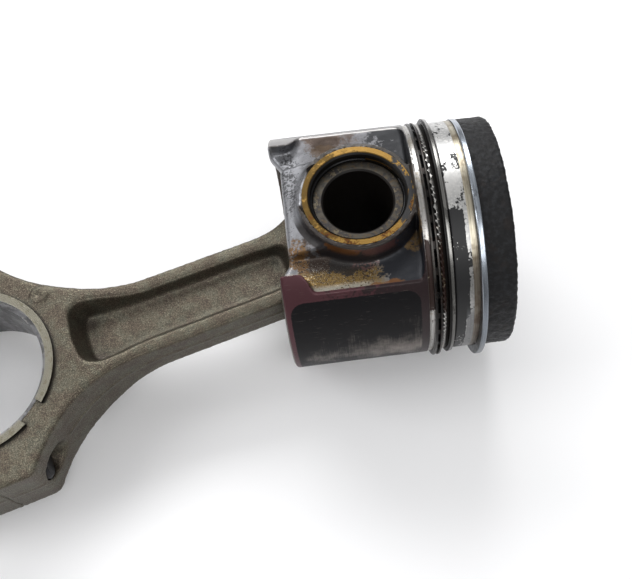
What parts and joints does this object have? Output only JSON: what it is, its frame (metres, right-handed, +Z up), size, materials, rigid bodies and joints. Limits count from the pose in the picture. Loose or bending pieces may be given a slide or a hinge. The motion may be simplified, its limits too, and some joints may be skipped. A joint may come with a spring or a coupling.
{
  "type": "piston with connecting rod",
  "caption": "Used heavy-duty diesel piston with rings, floating hollow gudgeon pin and forged I-beam connecting rod with a split bolted big end.",
  "frame": {"origin": "on the bench, under the middle of the assembly's box", "axes": "+Z up from the bench the assembly lies on; +X along the piston towards its crown, seen from above; the gudgeon pin stands 8.5 degrees off +Z because the assembly rests on its lower pin boss and on the big end"},
  "size_m": [0.3464, 0.1932, 0.1342],
  "materials": {
    "cast_aluminium": "machined and cast, oil-varnished",
    "carrier_iron": "turned nickel iron, stained",
    "ring_steel": "ground, worn bright",
    "ring_iron": "turned, dark",
    "spring_steel": "oiled",
    "bush_bronze": "fine turned, varnished",
    "pin_steel": "hardened and ground",
    "forged_steel": "shot-peened forging",
    "shell_metal": "plated bearing metal",
    "bolt_steel": "black phosphated"
  },
  "bodies": {
    "piston": {"piston_body": "cast_aluminium", "ring_carrier": "carrier_iron", "pin_boss_bush_front": "bush_bronze", "pin_boss_bush_rear": "bush_bronze", "circlip_front": "spring_steel", "circlip_rear": "spring_steel"},
    "pin": {"gudgeon_pin": "pin_steel"},
    "rod": {"connecting_rod": "forged_steel", "small_end_bush": "bush_bronze", "rod_cap": "forged_steel", "bearing_shell_upper": "shell_metal", "bearing_shell_lower": "shell_metal", "cap_bolts": "bolt_steel"},
    "top_ring": {"top_compression_ring": "ring_steel"},
    "second_ring": {"second_compression_ring": "ring_iron"},
    "oil_ring": {"oil_control_ring": "ring_iron", "oil_ring_expander": "spring_steel", "expander_latch_wire": "spring_steel"}
  },
  "joints": [
    {"name": "rod_swing", "type": "hinge", "parent": "piston", "child": "rod", "pos_m": [0.09057, 0.0307, 0.06051], "axis": [-0.1421, -0.0381, 0.9891], "range_deg": [-47, 17]},
    {"name": "pin_float", "type": "hinge", "parent": "piston", "child": "pin", "pos_m": [0.09057, 0.0307, 0.06051], "axis": [-0.1421, -0.0381, 0.9891], "continuous": true},
    {"name": "top_ring_turn", "type": "hinge", "parent": "piston", "child": "top_ring", "pos_m": [0.14709, 0.02805, 0.06854], "axis": [0.9898, -0.0027, 0.1421], "continuous": true},
    {"name": "second_ring_turn", "type": "hinge", "parent": "piston", "child": "second_ring", "pos_m": [0.13115, 0.03099, 0.06636], "axis": [0.9898, -0.0027, 0.1421], "continuous": true},
    {"name": "oil_ring_turn", "type": "hinge", "parent": "piston", "child": "oil_ring", "pos_m": [0.12412, 0.02951, 0.06529], "axis": [0.9898, -0.0027, 0.1421], "continuous": true}
  ]
}
